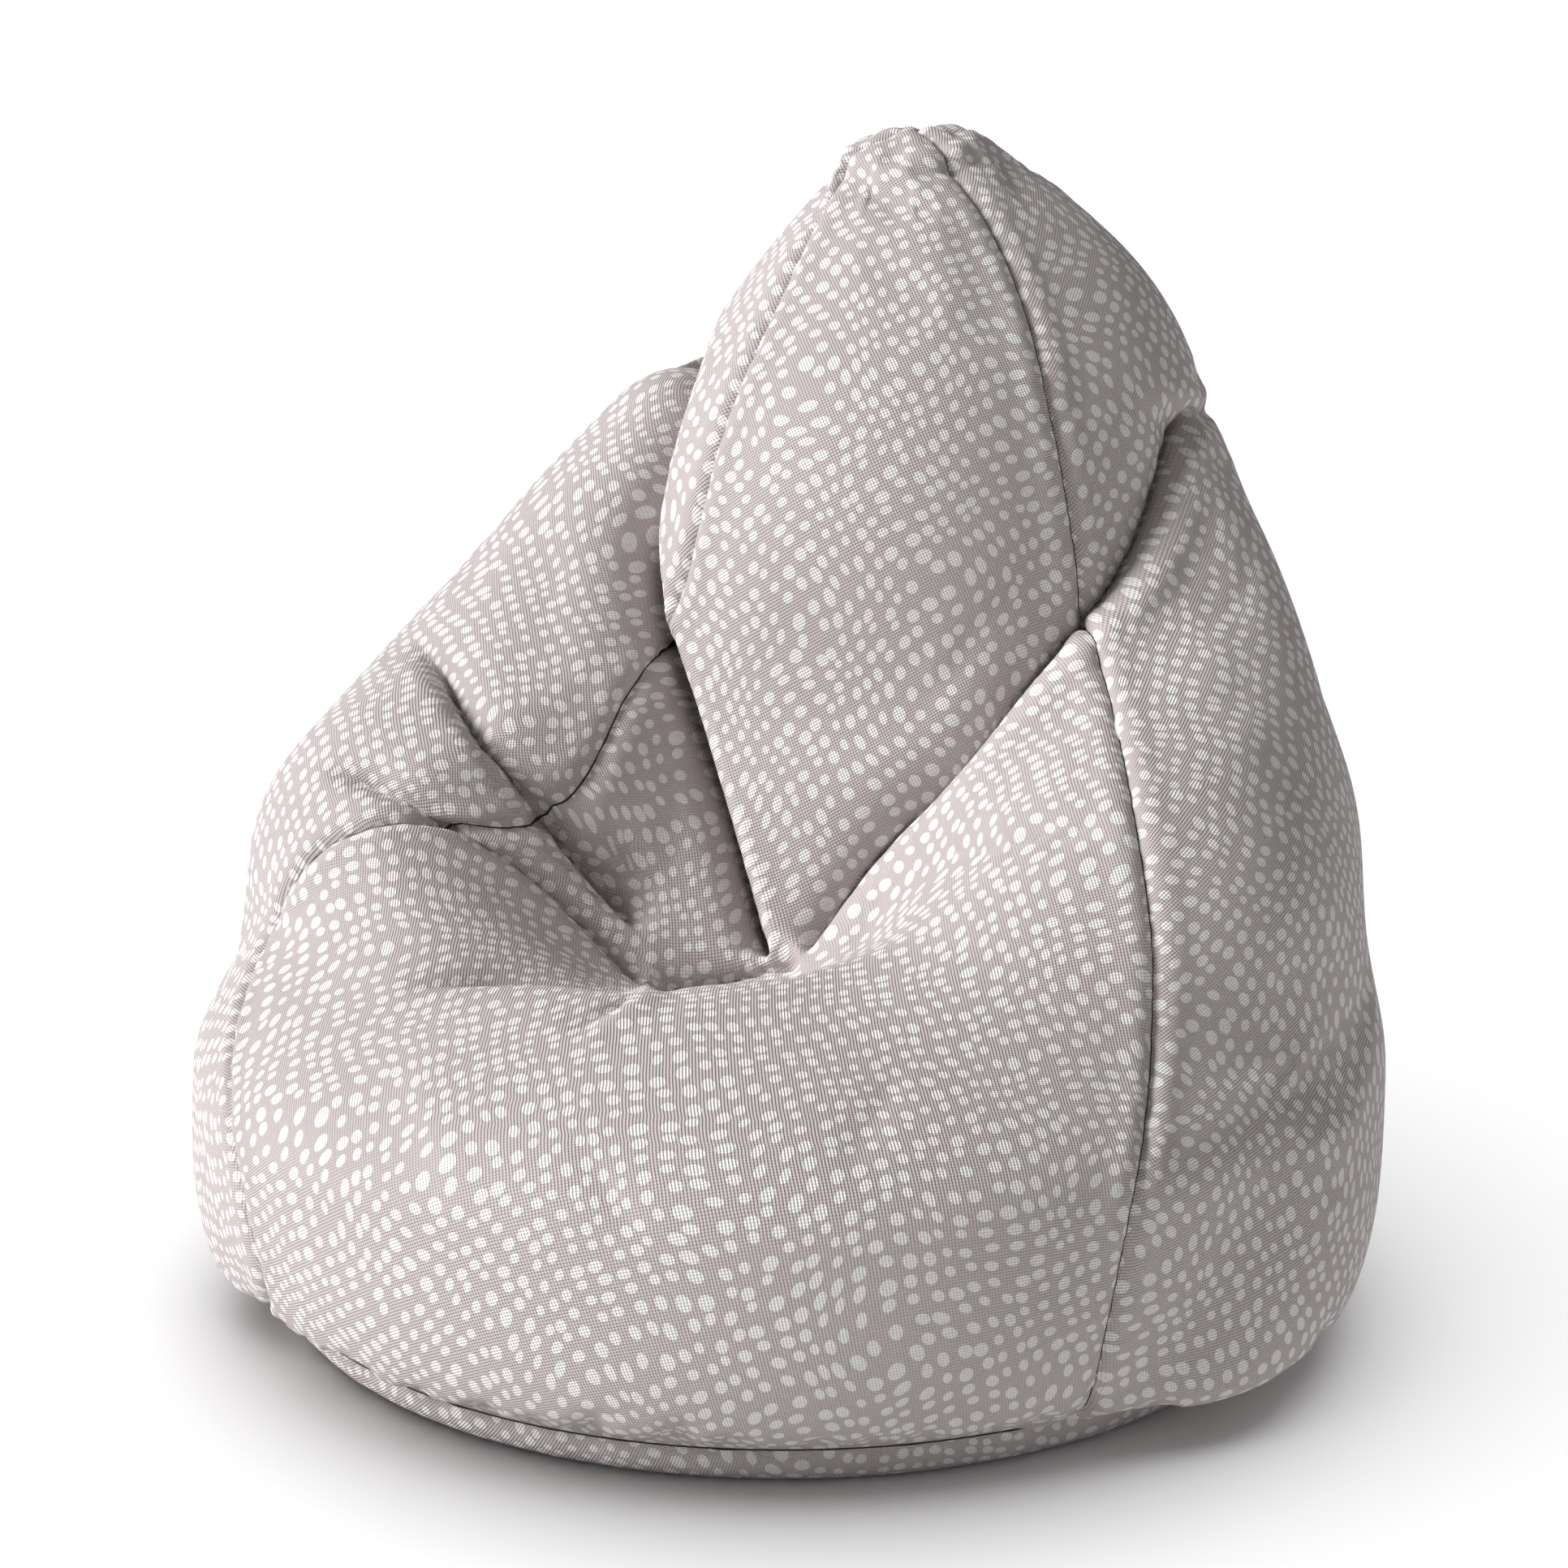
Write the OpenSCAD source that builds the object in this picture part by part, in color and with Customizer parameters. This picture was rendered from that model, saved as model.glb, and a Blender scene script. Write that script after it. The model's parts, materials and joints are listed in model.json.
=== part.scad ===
// Drop-shaped bean bag chair: four-gore cover, base disc, rear zip, inner liner and bead fill.
// Front is -Y, up is +Z, the floor is Z = 0. All sizes in millimetres.

/* [Overall] */
// Widest radius of the bag
bag_r = 450; // [380:1:520]
// Height of the peak above the floor
bag_h = 865; // [730:1:980]
// Radius of the seam between the sides and the base disc
base_r = 400; // [330:1:450]
// Height of that seam above the floor
base_seam_h = 34; // [20:1:60]
// Radius of the flat patch that rests on the floor
floor_r = 368; // [280:1:420]

/* [Seat] */
// Height of the lap in front of the hollow
lap_h = 325; // [300:1:400]
// Radius of the ball that presses the hollow
hollow_r = 105; // [60:1:120]
// How far the peak leans back
lean = 260; // [150:1:310]
// Radius of the rounded peak
peak_r = 50; // [40:1:80]

/* [Cloth] */
// Cover cloth thickness
cloth_t = 1.2; // [0.8:0.1:3]
// Liner cloth thickness
liner_t = 0.6; // [0.4:0.1:1.5]
// Clearance between layers
gap = 0.6; // [0.3:0.1:1.5]
// Width of a seam between two cover panels
seam_w = 3.6; // [2.4:0.1:6]
// Width of the stitched thread lying in a seam
thread_w = 1.8; // [1:0.1:3]
// Turn of each front seam away from the front centre line
front_seam_a = 45; // [35:1:55]

/* [Zip] */
// Height of the zip's lower end
zip_z0 = 130; // [100:1:220]
// Length of the zip
zip_len = 400; // [250:1:420]
// Width of one row of zip teeth
teeth_w = 3; // [2:0.1:5]
// Thickness of the teeth
teeth_t = 2.2; // [1.6:0.1:3]
// Open width between the two cover edges at the zip
zip_open = 16; // [12:1:24]
// Slider length along the zip
slider_len = 16; // [10:1:24]
// Slider width
slider_w = 11; // [8:0.5:14]
// Pull tab length
pull_len = 30; // [18:1:45]

/* [Care label] */
// Label width
label_w = 40; // [25:1:60]
// Label height
label_h = 60; // [30:1:90]

/* [Hidden] */
$fn = 96;

// ---- scale helpers: every form number below is a share of the bag's size
kw = bag_r / 450;
kh = bag_h / 865;
kd = lean / 260;
function at(x, y, z) = [x * kw, y * kw, z * kh];
function behind(x, y, z) = [x * kw, y * kd * kw, z * kh];

// ---- form field
function clamp(t) = min(1, max(0, t));
function ease(a, b, t) = let(s = clamp((t - a) / (b - a))) s * s * (3 - 2 * s);
function mix(a, b, s) = a + (b - a) * s;
function smin(a, b, k) = let(h = max(k - abs(a - b), 0) / k) min(a, b) - h * h * k / 4;
function smax(a, b, k) = -smin(-a, -b, k);

// distance to a tapered limb with round ends; s is [a, b, ra, rb]
function limb(p, s) =
    let(ab = s[1] - s[0], l = norm(ab), u = ab / l, d = p - s[0], h = d * u,
        w = norm(d - h * u), k = (s[2] - s[3]) / l,
        t = clamp((h - w * k / sqrt(1 - k * k)) / l))
    norm(d - u * (t * l)) - mix(s[2], s[3], t);

belly_z = 200 * kh;
belly_drop = 240 * kh;
belly_rise = lap_h - belly_z;
// how square the belly is below and above its widest place; 2 is an ellipse
belly_low = 3.3;
belly_high = 2.4;
function belly(p) =
    let(rho = norm([p[0], p[1]]), low = p[2] < belly_z, n = low ? belly_low : belly_high,
        h = low ? belly_drop : belly_rise)
    (pow(pow(rho / bag_r, n) + pow(abs(p[2] - belly_z) / h, n), 1 / n) - 1) * bag_r * 0.45;

// knee, elbow, hip and shoulder of one arm, mirrored for the other
arm_limbs = [[at(200, -130, 200), at(270, 0, 300), 140 * kw, 150 * kw],
             [at(270, 0, 300), at(240, 120, 340), 150 * kw, 160 * kw],
             [at(240, 120, 340), behind(150, 250, 600), 160 * kw, 90 * kw]];
peak = [20 * kw, lean * kw, bag_h - peak_r];
spine_limbs = [[at(20, -70, 100), at(20, 100, 440), 390 * kw, 330 * kw],
               [at(20, 100, 440), behind(30, 230, 650), 330 * kw, 200 * kw],
               [behind(30, 230, 650), peak, 200 * kw, peak_r]];
lobe_c = at(50, 180, 480);
lobe_size = [235 * kw, 135 * kw, 390 * kh];
lobe_lean = 25;
crown = [behind(30, 190, 600), peak, 165 * kw, peak_r];
seat_cut = at(0, 0, 310);
seat_normal = [0, -0.8, 0.6];
hollow_c = [-30 * kw, -100 * kw, lap_h + 43];
fold_blend = 50;

function lobe(p) =
    let(d = p - lobe_c, y = d[1] * cos(lobe_lean) - d[2] * sin(lobe_lean),
        z = d[1] * sin(lobe_lean) + d[2] * cos(lobe_lean))
    smin((norm([d[0] / lobe_size[0], y / lobe_size[1], z / lobe_size[2]]) - 1) * lobe_size[1],
         limb(p, crown), 80);
function hollow(p) = hollow_r - norm([(p[0] - hollow_c[0]) * 0.8, p[1] - hollow_c[1], p[2] - hollow_c[2]]);

// the zip lies on a true arc, so the back of the bag follows one there
arc_r = 2600 * kw;
arc_z = 330 * kh;
arc_y = bag_r + 2 * kw - arc_r;
function back_arc(p) = norm([p[1] - arc_y, p[2] - arc_z]) - arc_r;
function arc_at(z) = asin((z - arc_z) / arc_r);
zip_a0 = arc_at(zip_z0);
zip_sweep = zip_len / arc_r * 180 / PI;
zip_a1 = zip_a0 + zip_sweep;
zip_z1 = arc_z + arc_r * sin(zip_a1);
// the true arc runs this far past each end of the zip, so no facet there leaves it under the tape
zip_room = 90 * max(kw, kh);
function near_zip(p) = (1 - ease(30, 110, abs(p[0]))) * ease(150 * kw, 250 * kw, p[1])
    * ease(zip_z0 - zip_room - 40, zip_z0 - zip_room, p[2])
    * (1 - ease(zip_z1 + zip_room, zip_z1 + zip_room + 80, p[2]));

function arm(p) = smin(smin(limb(p, arm_limbs[0]), limb(p, arm_limbs[1]), 60), limb(p, arm_limbs[2]), 60);
function bulk(p) =
    let(q = [-p[0], p[1], p[2]],
        rear = smax(smin(smin(limb(p, spine_limbs[0]), limb(p, spine_limbs[1]), 80),
                         limb(p, spine_limbs[2]), 80), (p - seat_cut) * seat_normal, 60),
        side = smin(arm(p), arm(q), 20))
    smin(smax(smin(smin(belly(p), rear, 100), side, 50), hollow(p), 60), lobe(p), fold_blend);
function form(p) = let(w = near_zip(p)) w <= 0 ? bulk(p) : mix(bulk(p), back_arc(p), w);

// ---- grid of points where rays from a leaning spine meet the form
heart_low = at(0, 0, 200);
heart_mid = at(0, 60, 120);
heart_top = behind(20, 250, 770);
belt = 0.42;
neck = 0.85;
ray_rise = 42;
ray_lean = 12;
ray_drop = atan2(base_seam_h - heart_low[2], base_r);
rows = 26;
reach = 800 * max(kw, kh);

// strips from the left of the zip round the front to its right
rim_step = 1.9;
quarter = 5;
function spread(a, b, n) = [for (i = [1 : n]) a + (b - a) * i / n];
// turn about +Z, 0 at the back, rising to the left of the chair, in degrees
ring = concat([0, rim_step], spread(rim_step, 45, quarter),
              spread(45, 180 - front_seam_a, quarter + 1),
              spread(180 - front_seam_a, 180 + front_seam_a, 2 * quarter),
              spread(180 + front_seam_a, 315, quarter + 1),
              spread(315, 360 - rim_step, quarter), [360]);
i_rl = 1 + quarter;
i_fl = i_rl + quarter + 1;
i_fr = i_fl + 2 * quarter;
i_rr = i_fr + quarter + 1;
i_end = i_rr + quarter + 1;

// the spine keeps to X = 0 as far up as the zip reaches, then turns to the peak
side_from = 0.55;
function eye(v) =
    let(t = clamp(v / belt), s = ease(0, 1, t), m = clamp((v - belt) / (neck - belt)),
        climb = (heart_top - heart_mid) * m)
    mix(heart_low, heart_mid, s) + [heart_top[0] * ease(side_from, 1, v), climb[1], climb[2]];
function ray(a, v) =
    let(t = clamp(v / belt), s = ease(0, 1, t), c = clamp((v - neck) / (1 - neck)),
        g = mix(ray_drop, ray_rise, t) + (90 - ray_rise) * c, n = ray_lean * s,
        d = cos(g) * [-sin(a), cos(a), 0] + sin(g) * [0, sin(n), cos(n)])
    d / norm(d);
function meet(s, d, lo, hi, n) =
    n == 0 ? s + d * (lo + hi) / 2 :
    let(m = (lo + hi) / 2) form(s + d * m) < 0 ? meet(s, d, m, hi, n - 1) : meet(s, d, lo, m, n - 1);
function spot(a, v) =
    v == 0 ? [-base_r * sin(a), base_r * cos(a), base_seam_h] : meet(eye(v), ray(a, v), 0, reach, 14);
v_top = 0.993;
skin = [for (j = [0 : rows]) let(v = v_top * j / rows)
        [for (a = ring) spot(a, v)]];
tip = spot(0, 1);

function unit(v) = v / max(norm(v), 1e-6);
// the outward normal at a grid point, from its neighbours
function pick(i) = i < 0 ? i + i_end : (i > i_end ? i - i_end : i);
function normal(j, i) =
    let(across = skin[j][pick(i + 1)] - skin[j][pick(i - 1)],
        up = skin[min(j + 1, rows)][i] - skin[max(j - 1, 0)][i])
    unit(cross(across, up));
normals = [for (j = [0 : rows]) [for (i = [0 : i_end]) normal(j, i)]];
function under(j, i, d) = skin[j][i] - normals[j][i] * d;
// a grid point moved along its row towards column i2
function toward(j, i, i2, d, e) =
    under(j, i, e) + unit(skin[j][pick(i2)] - skin[j][i]) * d;

// closed slab between two grids of points; wrap = the columns close round
module slab(outer, inner, wrap = false) {
    n = len(outer) - 1;
    m = len(outer[0]) - (wrap ? 0 : 1);
    w = len(outer[0]);
    function k(j, i) = j * w + i % w;
    function o(j, i) = (n + 1) * w + j * w + i % w;
    polyhedron(points = concat([for (r = inner) each r], [for (r = outer) each r]),
        faces = concat(
            [for (j = [0 : n - 1]) for (i = [0 : m - 1]) each
                [[o(j, i), o(j + 1, i + 1), o(j + 1, i)], [o(j, i), o(j, i + 1), o(j + 1, i + 1)],
                 [k(j, i), k(j + 1, i), k(j + 1, i + 1)], [k(j, i), k(j + 1, i + 1), k(j, i + 1)]]],
            [for (i = [0 : m - 1]) each
                [[o(0, i), k(0, i), k(0, i + 1)], [o(0, i), k(0, i + 1), o(0, i + 1)],
                 [o(n, i), k(n, i + 1), k(n, i)], [o(n, i), o(n, i + 1), k(n, i + 1)]]],
            wrap ? [] : [for (j = [0 : n - 1]) each
                [[o(j, 0), k(j + 1, 0), k(j, 0)], [o(j, 0), o(j + 1, 0), k(j + 1, 0)],
                 [o(j, m), k(j, m), k(j + 1, m)], [o(j, m), k(j + 1, m), o(j + 1, m)]]]),
        convexity = 8);
}

// ---- cover panels
base_lift = 3;
function edge_pull(j, zip, room) = zip && on_zip(j) ? zip_open / 2 : min(seam_w / 2, room * 0.3);
function on_zip(j) = skin[j][0][2] > zip_z0 - 25 && skin[j][0][2] < zip_z1 + 25;
function panel_rows(i0, i1, d, zip0, zip1) =
    [for (j = [0 : rows]) let(up = j == 0 ? [0, 0, base_lift] : [0, 0, 0])
        [for (i = [i0 : i1]) up +
            (i == i0 ? toward(j, i, i + 1, edge_pull(j, zip0, step(j, i, i + 1)), d) :
             i == i1 ? toward(j, i, i - 1, edge_pull(j, zip1, step(j, i, i - 1)), d) : under(j, i, d))]];
function step(j, i, i2) = norm(skin[j][pick(i2)] - skin[j][i]);
module panel(i0, i1, zip0 = false, zip1 = false)
    slab(panel_rows(i0, i1, 0, zip0, zip1), panel_rows(i0, i1, cloth_t, zip0, zip1));

module front_panel() color("#cfc4c4") panel(i_fl, i_fr);
module left_panel() color("#cbc0c0") panel(i_rl, i_fl);
module right_panel() color("#c6bbbb") panel(i_fr, i_rr);
module rear_left_panel() color("#c9bebe") panel(0, i_rl, zip0 = true);
module rear_right_panel() color("#c4b9b9") panel(i_rr, i_end, zip1 = true);

// the base disc, turned up at its edge to meet the sides
floor_t = cloth_t + 0.4;
turn_r = mix(floor_r, base_r, 0.62);
turn_h = base_seam_h * 0.3;
module base_panel() color("#b9aeae") rotate_extrude($fn = 144)
    polygon([[0, 0], [floor_r, 0], [turn_r, turn_h],
             [base_r - 0.5, base_seam_h - 2], [base_r - cloth_t - 1, base_seam_h - 1.4],
             [turn_r - 2, turn_h + 1], [floor_r - 1, floor_t], [0, floor_t]]);

// ---- seams: a flat thread lying in the gap between two panels
module thread(i, j0, j1) {
    side = [for (j = [j0 : j1]) unit(skin[j][pick(i + 1)] - skin[j][pick(i - 1)])];
    rows_at = function (s, d) [for (j = [j0 : j1]) under(j, i, d) + side[j - j0] * s * slim(j, i)
                               + [0, 0, j == 0 ? base_lift : 0]];
    slab([for (r = [0 : j1 - j0]) [rows_at(-1, 0.1)[r], rows_at(1, 0.1)[r]]],
         [for (r = [0 : j1 - j0]) [rows_at(-1, cloth_t)[r], rows_at(1, cloth_t)[r]]]);
}
function slim(j, i) = min(thread_w / 2, step(j, i, i + 1) * 0.14);
first_above = [for (j = [0 : rows]) if (skin[j][0][2] > zip_z1 + 25) j][0];
module front_left_seam() color("#4b4344") thread(i_fl, 0, rows);
module front_right_seam() color("#4b4344") thread(i_fr, 0, rows);
module rear_left_seam() color("#4b4344") thread(i_rl, 0, rows);
module rear_right_seam() color("#4b4344") thread(i_rr, 0, rows);
module rear_centre_seam() color("#4b4344") thread(0, first_above + 1, rows);
tack_r = 3.6;
tip_up = unit(tip - peak);
module peak_tack() color("#4b4344") translate(tip - tip_up * cloth_t)
    rotate([-atan2(tip_up[1], tip_up[2]), 0, 0]) cylinder(r = tack_r, h = cloth_t + 0.4, $fn = 48);
module base_seam() color("#4b4344") rotate_extrude($fn = 144)
    translate([base_r - 1.2, base_seam_h - 0.9]) square([1.4, 1.8]);

// ---- zip, laid on the back arc; angles turn about X at the arc's centre
// a ring sector in the YZ plane: radius r0..r1, |x| from x0 to x1, between two angles
module sector(r0, r1, x0, x1, a0, a1)
    translate([x0, arc_y, arc_z]) rotate([a0, 0, 0]) rotate([90, 0, 90])
        rotate_extrude(angle = a1 - a0, $fn = 360) translate([r0, 0]) square([r1 - r0, x1 - x0]);
tape_out = arc_r - cloth_t - gap;
tape_t = 0.6;
tape_w = 13;
teeth_gap = 0.7;
teeth_in = tape_out + 0.1;
function deg(mm) = mm / arc_r * 180 / PI;
module zip_tape_left() color("#a79c9c")
    sector(tape_out - tape_t, tape_out, -tape_w, -teeth_gap, zip_a0 - deg(12), zip_a1 + deg(12));
module zip_tape_right() color("#a79c9c")
    sector(tape_out - tape_t, tape_out, teeth_gap, tape_w, zip_a0 - deg(12), zip_a1 + deg(12));
module zip_teeth_left() color("#8f8585")
    sector(teeth_in, teeth_in + teeth_t, -teeth_gap - teeth_w, -teeth_gap, zip_a0, zip_a1);
module zip_teeth_right() color("#8f8585")
    sector(teeth_in, teeth_in + teeth_t, teeth_gap, teeth_gap + teeth_w, zip_a0, zip_a1);
module zip_bottom_stop() color("#9b9ba0")
    sector(teeth_in, teeth_in + teeth_t + 0.4, -4.2, 4.2, zip_a0 - deg(4), zip_a0 - deg(0.4));
module zip_top_stop() color("#9b9ba0")
    sector(teeth_in, teeth_in + teeth_t + 0.4, -4.2, 4.2, zip_a1 + deg(0.4), zip_a1 + deg(4));
module zip_garage() color("#cfc4c4")
    sector(arc_r + 0.5, arc_r + 1.5, -14, 14, zip_a1 + deg(7), zip_a1 + deg(30));

lug_x = 3.2;
lug_t = 1.6;
lug_r = 1.9;
pin_half = lug_x - lug_t / 2 + 0.2;
slider_a1 = zip_a1 - deg(1);
slider_a0 = slider_a1 - deg(slider_len);
plate_in = teeth_in + teeth_t + 0.5;
plate_t = 1.6;
pin_r = 0.9;
pin_a = slider_a1 - deg(slider_len * 0.45);
pin_lift = 2.4;
pin_rad = plate_in + plate_t + pin_lift;
module on_arc(a, r) translate([0, arc_y, arc_z]) rotate([a, 0, 0]) translate([0, r, 0]) children();
// body over the teeth, cheeks either side, and two lugs that hold the pull's pin
module zip_slider() color("#9b9ba0") {
    sector(plate_in, plate_in + plate_t, -slider_w / 2, slider_w / 2, slider_a0, slider_a1);
    for (s = [-1, 1])
        sector(teeth_in + 0.3, plate_in + 0.2, s * (slider_w / 2 - 0.5) - 0.5,
               s * (slider_w / 2 - 0.5) + 0.5, slider_a0, slider_a1);
    for (s = [-1, 1])
        on_arc(pin_a, pin_rad) translate([s * lug_x - lug_t / 2, 0, 0]) rotate([0, 90, 0]) {
            cylinder(r = lug_r, h = lug_t, $fn = 48);
            translate([-lug_r, -pin_lift - 0.2, 0]) cube([2 * lug_r, pin_lift + 0.2, lug_t]);
        }
    on_arc(pin_a, pin_rad) translate([-pin_half, 0, 0]) rotate([0, 90, 0])
        cylinder(r = pin_r, h = 2 * pin_half, $fn = 48);
}
// flat tab with an eye round the slider's pin, hanging down
tab_w = 7.6;
eye_w = 3.6;
module zip_pull() color("#a6a6ac") on_arc(pin_a, pin_rad) difference() {
    union() {
        translate([-eye_w / 2, 0, 0]) rotate([0, 90, 0]) cylinder(r = 1.7, h = eye_w, $fn = 48);
        translate([-eye_w / 2, -0.1, -6]) cube([eye_w, 1.4, 6]);
        translate([-tab_w / 2, -0.1, -pull_len]) cube([tab_w, 1.4, pull_len - 5]);
    }
    translate([-eye_w / 2 - 1, 0, 0]) rotate([0, 90, 0]) cylinder(r = pin_r + 0.08, h = eye_w + 2, $fn = 48);
    translate([0, -2, -pull_len + 5]) rotate([-90, 0, 0]) cylinder(r = 1.6, h = 6, $fn = 48);
}

// ---- inside: a liner bag and the beads
liner_in = cloth_t + gap + tape_t + gap;
liner_lift = 4;
function shell_rows(d, lift) =
    [for (j = [0 : rows]) [for (i = [0 : i_end - 1]) under(j, i, d)
        + (j == 0 ? [0, 0, lift] : [0, 0, 0])]];
// solid bounded by rings of points, closed by a fan at each end
module filled(pts, low, high) {
    w = len(pts[0]);
    n = len(pts) - 1;
    polyhedron(points = concat([for (r = pts) each r], [high, low]),
        faces = concat(
            [for (j = [0 : n - 1]) for (i = [0 : w - 1]) each
                [[j * w + i, (j + 1) * w + i, (j + 1) * w + (i + 1) % w],
                 [j * w + i, (j + 1) * w + (i + 1) % w, j * w + (i + 1) % w]]],
            [for (i = [0 : w - 1]) [n * w + i, (n + 1) * w, n * w + (i + 1) % w]],
            [for (i = [0 : w - 1]) [i, (i + 1) % w, (n + 1) * w + 1]]),
        convexity = 8);
}
module liner_side() color("#efece8") slab(shell_rows(liner_in, liner_lift),
    shell_rows(liner_in + liner_t, liner_lift), wrap = true);
liner_floor = floor_t + gap;
module liner_base() color("#e9e6e1") translate([0, 0, liner_floor])
    cylinder(r = floor_r - 3, h = liner_t, $fn = 144);
module liner_seam() color("#bdb7b0") rotate_extrude($fn = 144)
    translate([floor_r - 2.5, liner_floor]) square([1.2, 1.2]);
fill_in = liner_in + liner_t + gap;
fill_floor = liner_floor + liner_t + gap;
fill_floor_r = floor_r - 8;
module bead_fill() color("#f7f6f2")
    filled(concat([[for (i = [0 : i_end - 1])
                    [-fill_floor_r * sin(ring[i]), fill_floor_r * cos(ring[i]), fill_floor]]],
                  shell_rows(fill_in, liner_lift)),
           [0, 0, fill_floor], tip + [0, 0, -fill_in]);

// blank care label sewn in beside the rear left seam, near the base
label_t = 0.5;
label_row = 3;
label_off = 2.5;
module care_label() color("#f4f3f0")
    on_label() cube([label_w, label_t, label_h], center = true);
module on_label()
    let(p = skin[label_row][2], n = normals[label_row][2])
        translate(p + n * label_off) rotate([0, 0, atan2(n[1], n[0]) - 90])
            rotate([asin(n[2]), 0, 0]) children();

front_panel();
left_panel();
right_panel();
rear_left_panel();
rear_right_panel();
base_panel();
front_left_seam();
front_right_seam();
rear_left_seam();
rear_right_seam();
rear_centre_seam();
base_seam();
peak_tack();
zip_tape_left();
zip_tape_right();
zip_teeth_left();
zip_teeth_right();
zip_bottom_stop();
zip_top_stop();
zip_slider();
zip_pull();
zip_garage();
liner_side();
liner_base();
liner_seam();
bead_fill();
care_label();
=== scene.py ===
"""Bean bag chair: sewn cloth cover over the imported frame, with its folds, seams, print and weave."""
import json

import bpy
import numpy as np
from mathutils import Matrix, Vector


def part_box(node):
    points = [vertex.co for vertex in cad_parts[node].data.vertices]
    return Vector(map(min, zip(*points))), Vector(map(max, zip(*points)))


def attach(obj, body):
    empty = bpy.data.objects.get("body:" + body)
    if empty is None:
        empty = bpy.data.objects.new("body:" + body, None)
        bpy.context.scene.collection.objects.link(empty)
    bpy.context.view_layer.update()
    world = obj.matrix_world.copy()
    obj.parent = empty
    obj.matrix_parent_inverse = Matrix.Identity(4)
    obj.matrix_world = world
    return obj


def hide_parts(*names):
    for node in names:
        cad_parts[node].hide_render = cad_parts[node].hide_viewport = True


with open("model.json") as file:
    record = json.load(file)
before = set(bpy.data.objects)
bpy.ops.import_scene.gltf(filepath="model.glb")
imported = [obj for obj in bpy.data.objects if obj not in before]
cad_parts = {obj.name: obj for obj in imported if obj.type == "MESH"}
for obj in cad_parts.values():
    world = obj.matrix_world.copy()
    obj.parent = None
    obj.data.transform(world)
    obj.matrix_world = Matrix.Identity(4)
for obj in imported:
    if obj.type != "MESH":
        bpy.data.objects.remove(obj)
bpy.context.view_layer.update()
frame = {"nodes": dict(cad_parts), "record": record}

# ---------------------------------------------------------------- sizes from the frame
BAG = "bag"
SEAM_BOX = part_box("base_seam")
FLOOR_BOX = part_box("liner_base")
TEETH_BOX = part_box("zip_teeth_left")
BASE_R = SEAM_BOX[1].x - 0.0002
SEAM_Z = (SEAM_BOX[0].z + SEAM_BOX[1].z) / 2
FLOOR_R = FLOOR_BOX[1].x + 0.003
ARC_Y, ARC_Z = next(j for j in frame["record"]["behaviour"]["joints"] if j["name"] == "zip_slide")["pos_m"][1:]
ARC_R = 2.600
BAG_R = 0.450
ZIP_Z0, ZIP_Z1 = TEETH_BOX[0].z, TEETH_BOX[1].z
ZIP_HALF = 0.0082

# ---------------------------------------------------------------- camera
VIEW_AZ, VIEW_EL = np.radians(18.0), np.radians(15.0)
VIEW_DIST = 2.845
VIEW_AIM = np.array([0.0, 0.0, 0.402])
VIEW_BACK = np.array([np.sin(VIEW_AZ) * np.cos(VIEW_EL), -np.cos(VIEW_AZ) * np.cos(VIEW_EL), np.sin(VIEW_EL)])
VIEW_RIGHT = np.array([np.cos(VIEW_AZ), np.sin(VIEW_AZ), 0.0])
VIEW_UP = np.cross(VIEW_BACK, VIEW_RIGHT)


def add_camera():
    data = bpy.data.cameras.new("camera")
    data.lens = 85.0
    data.sensor_width = 36.0
    cam = bpy.data.objects.new("camera", data)
    bpy.context.collection.objects.link(cam)
    cam.location = Vector(VIEW_AIM + VIEW_BACK * VIEW_DIST)
    cam.rotation_euler = Vector(VIEW_BACK).to_track_quat("Z", "Y").to_euler()
    bpy.context.scene.camera = cam


def to_front(p):
    """Places on the front-quarter plane through the bag's middle, in metres right and up of it."""
    d = p - (VIEW_AIM + VIEW_BACK * VIEW_DIST)
    depth = -(d @ VIEW_BACK)
    return np.stack([d @ VIEW_RIGHT, d @ VIEW_UP], -1) * (VIEW_DIST / depth)[..., None]


# ---------------------------------------------------------------- form of the filled bag
def ease(a, b, t):
    s = np.clip((t - a) / (b - a), 0, 1)
    return s * s * (3 - 2 * s)


def smin(a, b, k):
    h = np.maximum(k - np.abs(a - b), 0) / k
    return np.minimum(a, b) - h * h * k / 4


def smax(a, b, k):
    return -smin(-a, -b, k)


def limb(p, a, b, ra, rb):
    """Distance to a tapered limb with round ends."""
    a, b = np.array(a), np.array(b)
    length = np.linalg.norm(b - a)
    u = (b - a) / length
    h = (p - a) @ u
    w = np.linalg.norm(p - a - h[..., None] * u, axis=-1)
    k = (ra - rb) / length
    t = np.clip((h - w * k / np.sqrt(1 - k * k)) / length, 0, 1)
    return np.linalg.norm(p - a - (t * length)[..., None] * u, axis=-1) - (ra + t * (rb - ra))


def chain(p, stations, blend):
    out = None
    for (a, ra), (b, rb) in zip(stations[:-1], stations[1:]):
        d = limb(p, a, b, ra, rb)
        out = d if out is None else smin(out, d, blend)
    return out


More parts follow.
